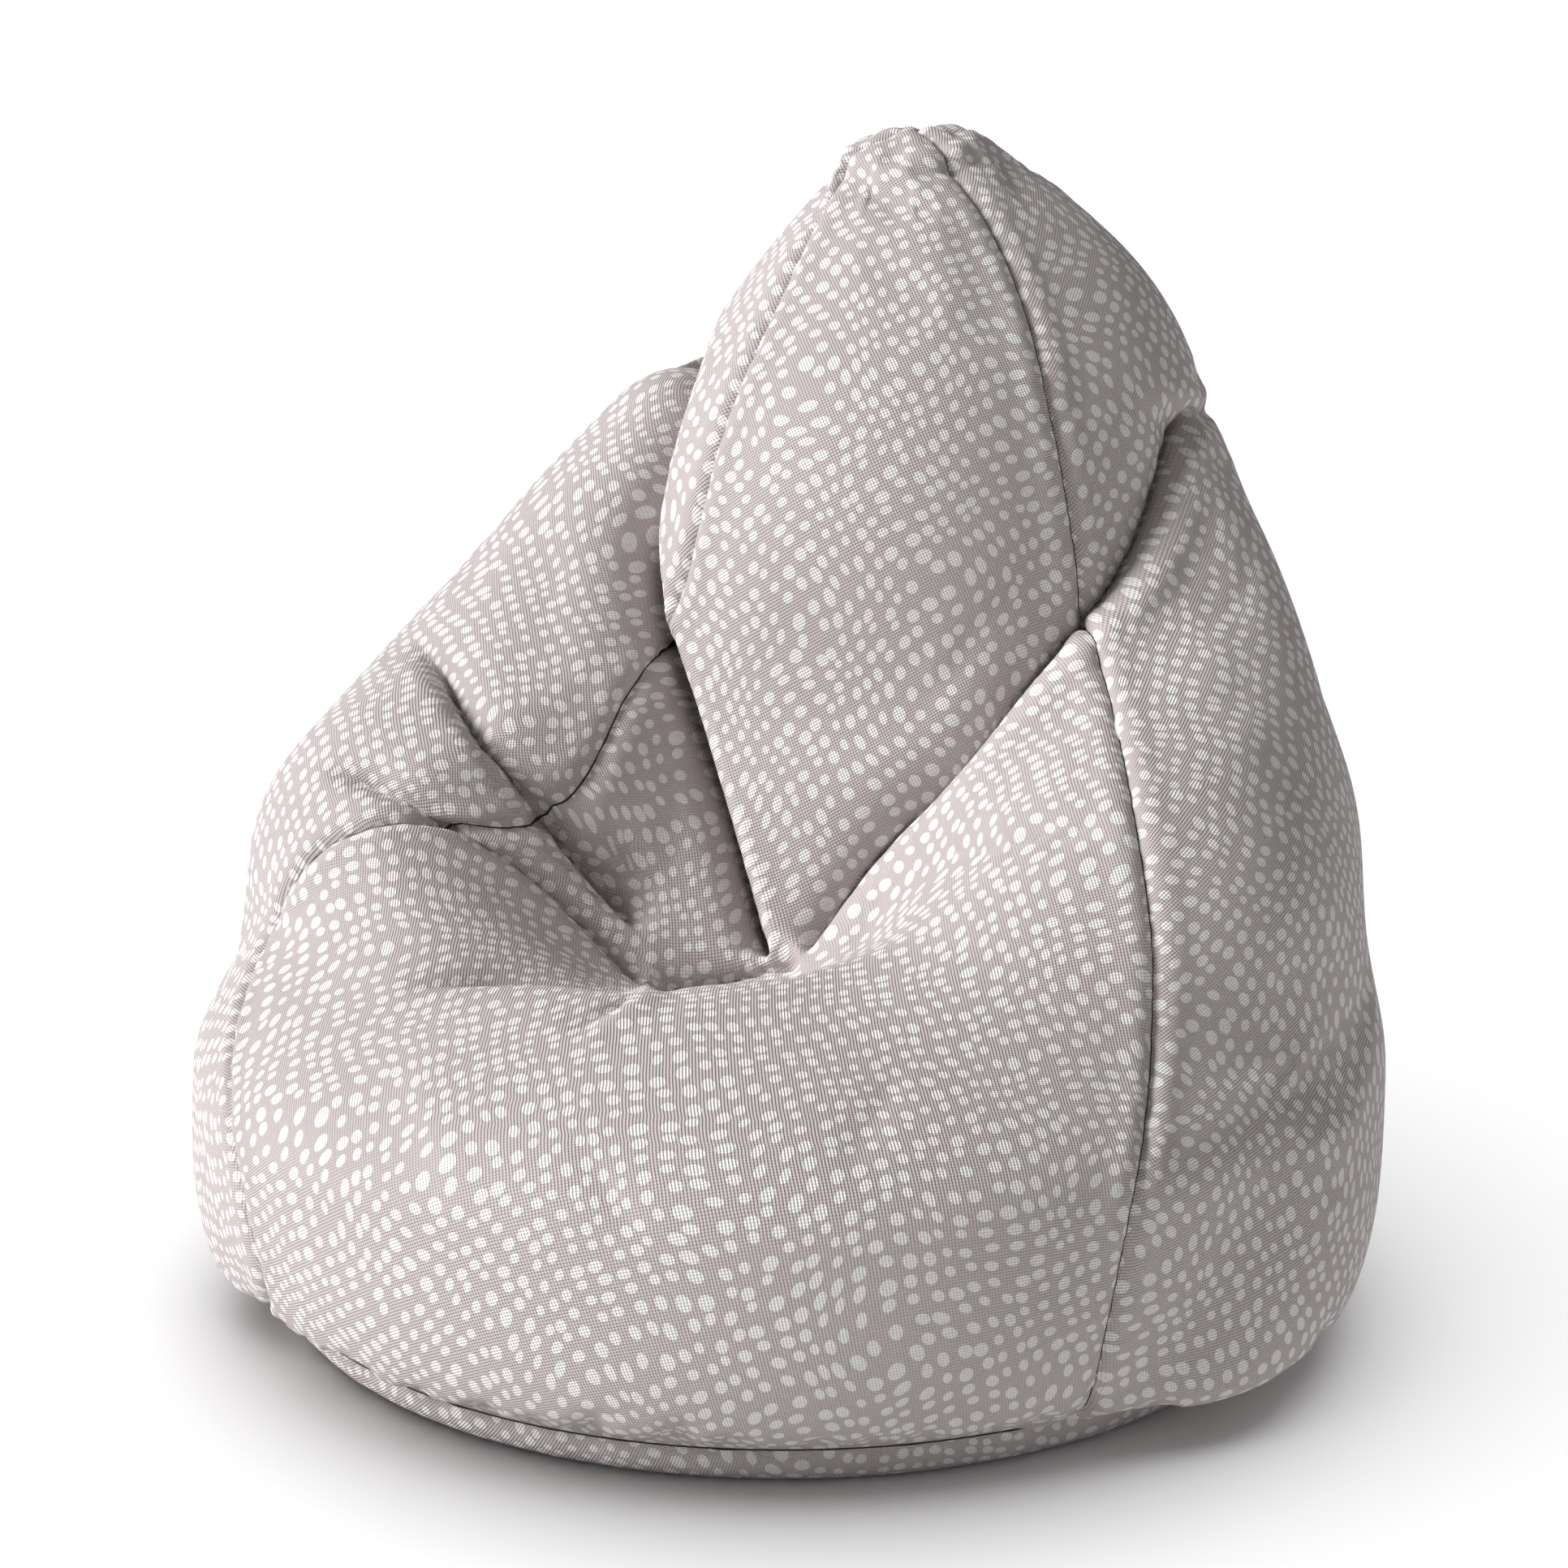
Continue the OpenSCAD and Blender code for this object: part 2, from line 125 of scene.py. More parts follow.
# knee, elbow, hip and shoulder of one arm, mirrored for the other
ARM = [((0.200, -0.130, 0.200), 0.140), ((0.270, 0.000, 0.300), 0.150),
       ((0.240, 0.120, 0.340), 0.160), ((0.150, 0.250, 0.600), 0.090)]
SPINE = [((0.020, -0.070, 0.100), 0.390), ((0.020, 0.100, 0.440), 0.330),
         ((0.030, 0.230, 0.650), 0.200), ((0.020, 0.260, 0.815), 0.050)]
LOBE_AT, LOBE_SIZE, LOBE_LEAN = np.array([0.050, 0.180, 0.480]), (0.235, 0.135, 0.390), np.radians(25)
CROWN = ((0.030, 0.190, 0.600), SPINE[-1][0], 0.165, SPINE[-1][1])
SEAT_AT, SEAT_NORMAL = np.array([0.0, 0.0, 0.310]), np.array([0.0, -0.8, 0.6])
LAP_Z = 0.325
HOLLOW_AT, HOLLOW_R = np.array([-0.030, -0.100, 0.368]), 0.105
BELLY_Z, BELLY_DROP, BELLY_LOW, BELLY_HIGH = 0.200, 0.240, 3.3, 2.4


def belly(p):
    rho = np.hypot(p[..., 0], p[..., 1])
    low = p[..., 2] < BELLY_Z
    n = np.where(low, BELLY_LOW, BELLY_HIGH)
    h = np.where(low, BELLY_DROP, LAP_Z - BELLY_Z)
    return (((rho / BAG_R) ** n + (np.abs(p[..., 2] - BELLY_Z) / h) ** n) ** (1 / n) - 1) * BAG_R * 0.45


def lobe(p):
    d = p - LOBE_AT
    c, s = np.cos(LOBE_LEAN), np.sin(LOBE_LEAN)
    q = np.stack([d[..., 0] / LOBE_SIZE[0], (d[..., 1] * c - d[..., 2] * s) / LOBE_SIZE[1],
                  (d[..., 1] * s + d[..., 2] * c) / LOBE_SIZE[2]], -1)
    return smin((np.linalg.norm(q, axis=-1) - 1) * LOBE_SIZE[1], limb(p, *CROWN), 0.08)


def form(p):
    """Negative inside the bag, in metres, roughly the distance to its skin."""
    rear = smax(chain(p, SPINE, 0.08), (p - SEAT_AT) @ SEAT_NORMAL, 0.06)
    arms = smin(chain(p, ARM, 0.06), chain(p * np.array([-1, 1, 1]), ARM, 0.06), 0.02)
    f = smin(smin(belly(p), rear, 0.10), arms, 0.05)
    hollow = HOLLOW_R - np.linalg.norm((p - HOLLOW_AT) * np.array([0.8, 1, 1]), axis=-1)
    f = smin(smax(f, hollow, 0.06), lobe(p), 0.035)
    w = ((1 - ease(0.03, 0.11, np.abs(p[..., 0]))) * ease(0.15, 0.25, p[..., 1])
         * ease(ZIP_Z0 - 0.13, ZIP_Z0 - 0.09, p[..., 2])
         * (1 - ease(ZIP_Z1 + 0.09, ZIP_Z1 + 0.17, p[..., 2])))
    arc = np.hypot(p[..., 1] - ARC_Y, p[..., 2] - ARC_Z) - ARC_R
    return f * (1 - w) + arc * w


HEART_LOW = np.array([0.0, 0.0, 0.200])
HEART_MID = np.array([0.0, 0.060, 0.120])
HEART_TOP = np.array([0.020, 0.250, 0.770])
BELT, NECK, SIDE_FROM = 0.42, 0.85, 0.55
RAY_DROP, RAY_RISE, RAY_LEAN = np.arctan2(SEAM_Z - 0.200, BASE_R), np.radians(42), np.radians(12)
REACH = 0.8


def skin(turn, v):
    """Points of the bag's skin: turn is the angle from the front towards +X, v climbs from seam to peak."""
    t = np.clip(v / BELT, 0, 1)
    s = ease(0, 1, t)
    m = np.clip((v - BELT) / (NECK - BELT), 0, 1)
    top = np.clip((v - NECK) / (1 - NECK), 0, 1)
    eye = HEART_LOW + (HEART_MID - HEART_LOW) * s[..., None] + (HEART_TOP - HEART_MID) * m[..., None]
    eye[..., 0] = HEART_TOP[0] * ease(SIDE_FROM, 1, v)
    g = RAY_DROP + (RAY_RISE - RAY_DROP) * t + (np.pi / 2 - RAY_RISE) * top
    lean = RAY_LEAN * s
    flat = np.stack([np.sin(turn), -np.cos(turn), 0 * turn], -1)
    rise = np.stack([0 * lean, np.sin(lean), np.cos(lean)], -1)
    ray = np.cos(g)[..., None] * flat + np.sin(g)[..., None] * rise
    ray /= np.linalg.norm(ray, axis=-1, keepdims=True)
    lo, hi = np.zeros(v.shape), np.full(v.shape, REACH)
    for _ in range(17):
        mid = (lo + hi) / 2
        inside = form(eye + ray * mid[..., None]) < 0
        lo, hi = np.where(inside, mid, lo), np.where(inside, hi, mid)
    p = eye + ray * ((lo + hi) / 2)[..., None]
    seam = np.stack([BASE_R * np.sin(turn), -BASE_R * np.cos(turn), np.full(v.shape, SEAM_Z)], -1)
    blend = (1 - ease(0, 0.03, v))[..., None]
    return p * (1 - blend) + seam * blend


# ---------------------------------------------------------------- where the seams run
# metres right and up on the front-quarter plane, from the peak down to the base
FRONT_RIGHT_SEAM = [(0.12, 0.49), (0.18, 0.37), (0.23, 0.14), (0.25, 0.04), (0.28, -0.14), (0.27, -0.29),
                    (0.23, -0.49)]
FRONT_LEFT_SEAM = [(0.05, 0.48), (-0.04, 0.29), (-0.08, 0.14), (-0.14, 0.04), (-0.22, -0.01), (-0.35, -0.05),
                   (-0.41, -0.15), (-0.42, -0.25), (-0.38, -0.44)]


def curve(points, step=0.004):
    """A smooth curve through the points, as evenly spaced places."""
    p = np.array(points, float)
    p = np.vstack([2 * p[0] - p[1], p, 2 * p[-1] - p[-2]])
    out = []
    for a, b, c, d in zip(p[:-3], p[1:-2], p[2:-1], p[3:]):
        n = max(2, int(np.linalg.norm(c - b) / step))
        for t in np.arange(n) / n:
            out.append(0.5 * (2 * b + (c - a) * t + (2 * a - 5 * b + 4 * c - d) * t * t
                              + (3 * b - a - 3 * c + d) * t ** 3))
    out.append(p[-2])
    return np.array(out)


def smooth(y, width):
    k = np.exp(-0.5 * (np.arange(-3 * width, 3 * width + 1) / width) ** 2)
    pad = np.concatenate([np.full(3 * width, y[0]), y, np.full(3 * width, y[-1])])
    return np.convolve(pad, k / k.sum(), mode="valid")


def seam_turn(points, guess, v):
    """The turn at which each row of the skin crosses a curve drawn on the front-quarter plane."""
    line = curve(points)
    line = line[np.argsort(line[:, 1])]
    turns = guess + np.radians(np.arange(-62, 62.5, 0.5))
    tt, vv = np.meshgrid(turns, v)
    skin_rows = skin(tt, vv)
    lift = np.gradient(skin_rows, axis=0)
    q = to_front(skin_rows)
    off = q[..., 0] - np.interp(q[..., 1], line[:, 1], line[:, 0])
    out = np.full(len(v), guess)
    last = guess
    for j in range(len(v)):
        facing = (np.cross(np.gradient(skin_rows[j], axis=0), lift[j]) @ VIEW_BACK)[:-1] > 0
        cross = np.nonzero((off[j, :-1] < 0) & (off[j, 1:] >= 0) & facing)[0]
        if len(cross):
            i = cross[np.argmin(np.abs(turns[cross] - last))]
            a, b = off[j, i], off[j, i + 1]
            last = turns[i] + (turns[i + 1] - turns[i]) * a / (a - b)
        out[j] = last
    return out


ROWS = 264
COLS = {"front": 150, "left": 130, "right": 110, "rear_left": 70, "rear_right": 70}
V_TOP = 0.997


def even_rows():
    """Values of v that space the rows evenly up the bag on average."""
    v = np.linspace(0, V_TOP, 180)
    t, vv = np.meshgrid(np.radians(np.arange(0, 360, 10.0)), v)
    step = np.linalg.norm(np.diff(skin(t, vv), axis=0), axis=-1).mean(1)
    s = np.concatenate([[0], np.cumsum(step)])
    return np.interp(np.linspace(0, s[-1], ROWS + 1), s, v)


V = even_rows()
TOP_FADE = ease(0.90, 0.985, V)
right_line = smooth(seam_turn(FRONT_RIGHT_SEAM, np.radians(45), V), 2)
left_line = smooth(seam_turn(FRONT_LEFT_SEAM, np.radians(-45), V), 2)

TURNS = {
    "front_left": left_line * (1 - TOP_FADE) + np.radians(-45) * TOP_FADE,
    "front_right": right_line * (1 - TOP_FADE) + np.radians(45) * TOP_FADE,
    "rear_right": np.full(ROWS + 1, np.radians(135.0)),
    "rear_left": np.full(ROWS + 1, np.radians(-135.0)),
    "centre_right": np.full(ROWS + 1, np.radians(180.0)),
    "centre_left": np.full(ROWS + 1, np.radians(-180.0)),
}
PANELS = {
    "front": ("front_left", "front_right"),
    "right": ("front_right", "rear_right"),
    "rear_right": ("rear_right", "centre_right"),
    "left": ("rear_left", "front_left"),
    "rear_left": ("centre_left", "rear_left"),
}


RING = ["rear_left", "left", "front", "right", "rear_right"]


def ring_turns():
    """Turn of every grid point round the whole bag, panel by panel, each sharing its edges with the next."""
    out = []
    for name in RING:
        a, b = (TURNS[k] for k in PANELS[name])
        u = np.linspace(0, 1, COLS[name] + 1)
        u = u - 0.022 * np.sin(2 * np.pi * u)
        turn = a[:, None] + (b - a)[:, None] * u[None, :]
        out.append(turn if not out else turn[:, 1:])
    return np.concatenate(out, 1)


def relax(p, rounds=60, limit=2.2):
    """Evens out places where the grid is stretched over an edge."""
    step = np.linalg.norm(np.diff(p, axis=0), axis=-1)
    usual = np.median(step)
    tight = np.zeros(p.shape[:2])
    tight[:-1] = np.maximum(tight[:-1], step > limit * usual)
    tight[1:] = np.maximum(tight[1:], step > limit * usual)
    tight = spread_max(tight, 6)
    for _ in range(8):
        tight[:, 1:-1] = (tight[:, 2:] + tight[:, :-2] + 2 * tight[:, 1:-1]) / 4
        tight[1:-1] = (tight[2:] + tight[:-2] + 2 * tight[1:-1]) / 4
    tight[:4] = 0
    tight[-10:] = 0
    w = tight[1:-1, 1:-1, None]
    for _ in range(rounds):
        mean = (p[2:, 1:-1] + p[:-2, 1:-1] + p[1:-1, 2:] + p[1:-1, :-2]) / 4
        p[1:-1, 1:-1] += (mean - p[1:-1, 1:-1]) * w
    return p


def spread_max(a, reach):
    """Each value replaced with the largest within reach rows or columns; columns wrap round."""
    for axis, wraps in ((0, False), (1, True)):
        best = a.copy()
        for k in range(1, reach + 1):
            for step in (-k, k):
                moved = np.roll(a, step, axis)
                if not wraps:
                    if step > 0:
                        moved[:step] = 0
                    else:
                        moved[step:] = 0
                best = np.maximum(best, moved)
        a = best
    return a


# ---------------------------------------------------------------- folds
class Fold:
    """A fold drawn on the front-quarter plane; the cloth on its near side laps over the far side.

    near is +1 where the near cloth lies to the right of the direction of travel, else -1.
    """

    def __init__(self, points, depth, far=0.035, near_w=0.009, near=1, lap=0.004, puff=0.004,
                 tail=(0.05, 0.05)):
        self.line = curve(points)
        self.depth, self.far, self.near_w, self.near = depth, far, near_w, near
        self.lap, self.puff, self.tail = lap, puff, tail
        seg = np.linalg.norm(np.diff(self.line, axis=0), axis=1)
        self.along = np.concatenate([[0], np.cumsum(seg)])

    def measure(self, q):
        """Signed distance to the line (near side positive), share of full depth and the sideways direction."""
        flat = q.reshape(-1, 2)
        best = np.full(len(flat), 9.0)
        side = np.zeros(len(flat))
        where = np.zeros(len(flat))
        across = np.zeros((len(flat), 2))
        for i in range(len(self.line) - 1):
            a, b = self.line[i], self.line[i + 1]
            ab = b - a
            t = np.clip(((flat - a) @ ab) / (ab @ ab), 0, 1)
            d = flat - a - t[:, None] * ab
            dist = np.hypot(d[:, 0], d[:, 1])
            right = np.array([ab[1], -ab[0]]) / np.linalg.norm(ab)
            hit = dist < best
            best = np.where(hit, dist, best)
            side = np.where(hit, d @ right * self.near, side)
            where = np.where(hit, self.along[i] + t * (self.along[i + 1] - self.along[i]), where)
            across[hit] = right * self.near
        total = self.along[-1]
        share = ease(0, self.tail[0], where) * (1 - ease(total - self.tail[1], total, where))
        s = np.where(side < 0, -best, best)
        return s.reshape(q.shape[:-1]), share.reshape(q.shape[:-1]), across.reshape(q.shape)


FOLDS = [
    # left of the padded back, from its shoulder down to the seat
    Fold([(-0.05, 0.38), (-0.10, 0.20), (-0.06, 0.04), (-0.01, -0.13)], depth=0.085, far=0.032, near=-1,
         near_w=0.005, puff=0.006, tail=(0.03, 0.02)),
    # right arm over the padded back
    Fold([(0.32, 0.30), (0.27, 0.18), (0.17, 0.07), (0.01, -0.13)], depth=0.050, far=0.045, near=-1,
         near_w=0.007, puff=0.005, lap=0.007, tail=(0.03, 0.03)),
    # two tucks down the left arm
    Fold([(-0.28, 0.12), (-0.20, 0.00), (-0.10, -0.12)], depth=0.046, far=0.032, near_w=0.007, puff=0.006,
         tail=(0.04, 0.05)),
    Fold([(-0.35, 0.02), (-0.20, -0.06), (-0.09, -0.16)], depth=0.030, far=0.024, near_w=0.007, puff=0.005,
         lap=0.002, tail=(0.05, 0.03)),
    # tucks in the front of the lap
    Fold([(-0.30, -0.16), (-0.20, -0.15), (-0.09, -0.16)], depth=0.034, far=0.032, puff=0.005,
         tail=(0.09, 0.03)),
    Fold([(-0.16, -0.19), (-0.10, -0.16)], depth=0.016, far=0.014, near_w=0.005, puff=0.003,
         tail=(0.04, 0.02)),
    # the lap's edge before the hollow
    Fold([(-0.11, -0.16), (-0.04, -0.14), (0.02, -0.13)], depth=0.045, far=0.030, near_w=0.010, lap=0.006,
         tail=(0.03, 0.02)),
    # faint wrinkle across the right arm, and the pucker at the peak
    Fold([(0.11, -0.07), (0.17, -0.04), (0.26, -0.04)], depth=0.006, far=0.016, lap=0, puff=0.001,
         tail=(0.05, 0.08)),
    Fold([(0.07, 0.48), (0.10, 0.48)], depth=0.007, far=0.013, near_w=0.004, lap=0.001, puff=0,
         tail=(0.012, 0.012)),
    # slack in the cloth across the lower belly
    Fold([(0.10, -0.20), (0.04, -0.30)], depth=0.005, far=0.030, near_w=0.020, lap=0, puff=0,
         tail=(0.05, 0.05)),
    Fold([(-0.16, -0.26), (-0.10, -0.36)], depth=0.004, far=0.028, near_w=0.020, lap=0, puff=0,
         tail=(0.05, 0.05)),
]


def normals(p):
    du = np.gradient(p, axis=1)
    dv = np.gradient(p, axis=0)
    n = np.cross(du, dv)
    return n / np.maximum(np.linalg.norm(n, axis=-1, keepdims=True), 1e-9)


def press_folds(p):
    """Sinks the folds into the skin and laps their near side over."""
    n = normals(p)
    q = to_front(p)
    facing = ease(-0.45, -0.10, n @ VIEW_BACK)
    sink = np.zeros(p.shape[:-1])
    slide = np.zeros(p.shape)
    for fold in FOLDS:
        s, share, across = fold.measure(q)
        share = share * facing
        wide, steep = np.exp(-np.abs(s) / fold.far * 1.5), np.exp(-np.abs(s) / (0.3 * fold.far))
        far = (0.55 * wide + 0.45 * steep) * fold.depth
        near = np.exp(-(np.abs(s) / fold.near_w)) * fold.depth
        hump = np.exp(-((np.abs(s) - 2.2 * fold.near_w) / (2.0 * fold.near_w)) ** 2) * fold.puff
        dip = np.where(s < 0, far, near - hump)
        sink = np.where(share * dip > 0, np.maximum(sink, share * dip), sink + share * np.minimum(dip, 0))
        push = fold.lap * np.exp(-((s - 0.004) / 0.009) ** 2) * share * (s > -0.006)
        way = across[..., :1] * VIEW_RIGHT + across[..., 1:] * VIEW_UP
        slide -= push[..., None] * way
    inward = 0.4 * n + 0.6 * VIEW_BACK
    inward /= np.linalg.norm(inward, axis=-1, keepdims=True)
    return p - inward * sink[..., None] + slide, sink


# ---------------------------------------------------------------- seams
def seam_press(p, rng):
    """Draws both side edges of a panel down into its seams, with small gathers beside them."""
    n = normals(p)
    step = np.linalg.norm(np.diff(p, axis=1), axis=-1)
    s = np.concatenate([np.zeros((len(p), 1)), np.cumsum(step, 1)], 1)
    left, right = s, s[:, -1:] - s
    rows = np.arange(len(p))
    for dist in (left, right):
        ripple = sum([np.sin(rows * pitch + rng.uniform(0, 6)) for pitch in (0.55, 0.93, 1.37)]) / 3
        groove = 0.0055 * np.exp(-dist / 0.0035)
        crown = 0.0020 * np.exp(-((dist - 0.015) / 0.011) ** 2)
        gather = 0.0011 * ripple[:, None] * np.exp(-((dist - 0.010) / 0.011) ** 2)
        p = p - n * (groove - crown - gather)[..., None]
    return p


def mesh_object(name, verts, faces, uv=None, material=None, smooth_it=True):
    mesh = bpy.data.meshes.new(name)
    mesh.from_pydata(verts.tolist(), [], faces.tolist())
    if uv is not None:
        layer = mesh.uv_layers.new(name="cloth")
        loops = np.empty(len(mesh.loops), dtype=np.int32)
        mesh.loops.foreach_get("vertex_index", loops)
        layer.data.foreach_set("uv", uv[loops].astype(np.float32).ravel())
    if smooth_it:
        mesh.polygons.foreach_set("use_smooth", [True] * len(mesh.polygons))
    mesh.update()
    obj = bpy.data.objects.new(name, mesh)
    bpy.context.collection.objects.link(obj)
    if material:
        mesh.materials.append(material)
    return obj


def grid_faces(rows, cols, wrap=False):
    j, i = np.meshgrid(np.arange(rows - 1), np.arange(cols - (0 if wrap else 1)), indexing="ij")
    i2 = (i + 1) % cols
    return np.stack([j * cols + i, j * cols + i2, (j + 1) * cols + i2, (j + 1) * cols + i], -1).reshape(-1, 4)


FLAT_STEP = 4


def to_full(coarse, rows, cols, shape):
    """A coarse grid of values, known at some rows and columns, filled in over the whole grid."""
    parts = range(coarse.shape[-1])
    tall = np.stack([np.stack([np.interp(np.arange(shape[0]), rows, coarse[:, i, k])
                               for i in range(len(cols))], 1) for k in parts], -1)
    return np.stack([np.stack([np.interp(np.arange(shape[1]), cols, tall[j, :, k])
                               for j in range(shape[0])], 0) for k in parts], -1)


def flatten(p):
    """The panel's flat cutting shape: the sewing pattern's coordinates, in metres, for every grid point."""
    rows = np.unique(np.append(np.arange(0, p.shape[0], FLAT_STEP), p.shape[0] - 1))
    cols = np.unique(np.append(np.arange(0, p.shape[1], FLAT_STEP), p.shape[1] - 1))
    small = p[rows][:, cols]
    obj = mesh_object("flat_pattern", small.reshape(-1, 3), grid_faces(len(rows), len(cols)))
    mesh = obj.data
    mesh.uv_layers.new(name="flat")
    bpy.context.view_layer.objects.active = obj
    obj.select_set(True)
    bpy.ops.object.mode_set(mode="EDIT")
    bpy.ops.mesh.select_all(action="SELECT")
    bpy.ops.uv.unwrap(method="ANGLE_BASED", margin=0)
    bpy.ops.uv.unwrap(method="MINIMUM_STRETCH", margin=0)
    bpy.ops.object.mode_set(mode="OBJECT")
    uv = np.empty(len(mesh.loops) * 2, dtype=np.float32)
    mesh.uv_layers["flat"].data.foreach_get("uv", uv)
    loops = np.empty(len(mesh.loops), dtype=np.int32)
    mesh.loops.foreach_get("vertex_index", loops)
    flat = np.zeros((len(mesh.vertices), 2))
    flat[loops] = uv.reshape(-1, 2)
    bpy.data.objects.remove(obj)
    flat = flat.reshape(len(rows), len(cols), 2)
    d3 = np.linalg.norm(np.diff(small, axis=0), axis=-1).sum()
    d2 = np.linalg.norm(np.diff(flat, axis=0), axis=-1).sum()
    flat = flat * (d3 / d2)
    full = to_full(flat, rows, cols, p.shape)
    up = full[-1].mean(0) - full[0].mean(0)
    a = np.arctan2(up[0], up[1])
    turn = np.array([[np.cos(a), -np.sin(a)], [np.sin(a), np.cos(a)]])
    return full @ turn.T


# ---------------------------------------------------------------- materials
class Nodes:
    """Small helper that adds shader nodes and links them."""

    def __init__(self, name):
        self.mat = bpy.data.materials.new(name)
        self.mat.use_nodes = True
        self.tree = self.mat.node_tree
        self.bsdf = self.tree.nodes["Principled BSDF"]

    def put(self, node, socket, value):
        target = node.inputs[socket]
        if isinstance(value, bpy.types.NodeSocket):
            self.tree.links.new(value, target)
        else:
            target.default_value = value

    def math(self, op, a, b=None, c=None):
        node = self.tree.nodes.new("ShaderNodeMath")
        node.operation = op
        for i, value in enumerate((a, b, c)):
            if value is not None:
                self.put(node, i, value)
        return node.outputs[0]

    def mix(self, share, a, b):
        node = self.tree.nodes.new("ShaderNodeMix")
        node.data_type = "RGBA"
        self.put(node, "Factor", share)
        self.put(node, 6, a)
        self.put(node, 7, b)
        return node.outputs[2]

    def ramp(self, value, lo, hi, out_lo=0.0, out_hi=1.0):
        node = self.tree.nodes.new("ShaderNodeMapRange")
        node.interpolation_type = "SMOOTHSTEP"
        for i, v in enumerate((value, lo, hi, out_lo, out_hi)):
            self.put(node, i, v)
        return node.outputs[0]


CLOTH = (0.530, 0.470, 0.470, 1)
PRINT = (0.800, 0.780, 0.765, 1)
THREAD = (0.030, 0.024, 0.024, 1)


def cloth_material(name, turn, shift):
    """Basket-woven cotton with a printed scatter of pale oval dots."""
    n = Nodes(name)
    uv = n.tree.nodes.new("ShaderNodeUVMap")
    uv.uv_map = "cloth"
    place = n.tree.nodes.new("ShaderNodeMapping")
    n.put(place, "Vector", uv.outputs[0])
    n.put(place, "Location", (shift[0], shift[1], 0))
    n.put(place, "Rotation", (0, 0, turn))
    at = place.outputs[0]
    # slow wander of the print, so that its rows flow
    wander = n.tree.nodes.new("ShaderNodeTexNoise")
    n.put(wander, "Vector", at)
    n.put(wander, "Scale", 9.0)
    n.put(wander, "Detail", 1.0)
    bent = n.tree.nodes.new("ShaderNodeVectorMath")
    bent.operation = "MULTIPLY_ADD"
    n.put(bent, 0, wander.outputs["Color"])
    n.put(bent, 1, (0.05, 0.05, 0.0))
    n.put(bent, 2, at)
    oval = n.tree.nodes.new("ShaderNodeMapping")
    n.put(oval, "Vector", bent.outputs[0])
    n.put(oval, "Rotation", (0, 0, 0.6))
    n.put(oval, "Scale", (1.0, 0.92, 1.0))
    cells = n.tree.nodes.new("ShaderNodeTexVoronoi")
    cells.voronoi_dimensions = "2D"
    n.put(cells, "Vector", oval.outputs[0])
    n.put(cells, "Scale", 74.0)
    n.put(cells, "Randomness", 0.36)
    split = n.tree.nodes.new("ShaderNodeSeparateColor")
    n.put(split, 0, cells.outputs["Color"])
    size = n.ramp(split.outputs[0], 0.0, 1.0, 0.26, 0.35)
    edge = n.math("SUBTRACT", cells.outputs["Distance"], size)
    dot = n.ramp(edge, -0.03, 0.03, 1.0, 0.0)
    # weave: ribs one way, broken by threads the other way; the hollows between threads are painted darker,
    # partly the weave's own pattern and partly painted shade
    sep = n.tree.nodes.new("ShaderNodeSeparateXYZ")
    n.put(sep, 0, at)
    pitch = 2 * np.pi / 0.0031
    across = n.math("SINE", n.math("MULTIPLY", sep.outputs[0], pitch))
    along = n.math("SINE", n.math("MULTIPLY", sep.outputs[1], pitch))
    check = n.math("MULTIPLY", across, along)
    weave = n.ramp(check, -0.9, 0.9)
    grain = n.tree.nodes.new("ShaderNodeTexNoise")
    n.put(grain, "Vector", at)
    n.put(grain, "Scale", 900.0)
    n.put(grain, "Detail", 2.0)
    slub = n.tree.nodes.new("ShaderNodeTexNoise")
    n.put(slub, "Vector", at)
    n.put(slub, "Scale", 5.0)
    n.put(slub, "Detail", 3.0)
    ground = n.mix(n.ramp(slub.outputs[0], 0.3, 0.7), tuple(c * 0.95 for c in CLOTH[:3]) + (1,), CLOTH)
    printed = n.mix(dot, ground, PRINT)
    # painted shade: the colour is scaled down in the weave's hollows between threads; the grain noise adds
    # fine random tone
    shade = n.math("MULTIPLY_ADD", weave, 0.20, 0.86)
    shade = n.math("MULTIPLY_ADD", grain.outputs[0], 0.08, n.math("SUBTRACT", shade, 0.04))
    tint = n.tree.nodes.new("ShaderNodeVectorMath")
    tint.operation = "SCALE"
    n.put(tint, 0, printed)
    n.put(tint, 3, shade)
    n.put(n.bsdf, "Base Color", tint.outputs[0])
    n.put(n.bsdf, "Roughness", 0.92)
    n.put(n.bsdf, "Specular IOR Level", 0.25)
    n.put(n.bsdf, "Sheen Weight", 0.12)
    n.put(n.bsdf, "Sheen Roughness", 0.6)
    bump = n.tree.nodes.new("ShaderNodeBump")
    n.put(bump, "Strength", 0.9)
    n.put(bump, "Distance", 0.0011)
    height = n.math("MULTIPLY_ADD", grain.outputs[0], 0.35, n.math("MULTIPLY_ADD", dot, 0.10, weave))
    n.put(bump, "Height", height)
    n.put(n.bsdf, "Normal", bump.outputs[0])
    return n.mat


def thread_material():
    """Dark spun thread with a twist."""
    n = Nodes("thread")
    co = n.tree.nodes.new("ShaderNodeTexCoord")
    wave = n.tree.nodes.new("ShaderNodeTexWave")
    n.put(wave, "Vector", co.outputs["Object"])
    n.put(wave, "Scale", 420.0)
    n.put(wave, "Distortion", 1.5)
    n.put(n.bsdf, "Base Color", n.mix(wave.outputs["Fac"], tuple(c * 0.6 for c in THREAD[:3]) + (1,), THREAD))
    n.put(n.bsdf, "Roughness", 0.8)
    bump = n.tree.nodes.new("ShaderNodeBump")
    n.put(bump, "Strength", 0.4)
    n.put(bump, "Distance", 0.0003)
    n.put(bump, "Height", wave.outputs["Fac"])
    n.put(n.bsdf, "Normal", bump.outputs[0])
    return n.mat


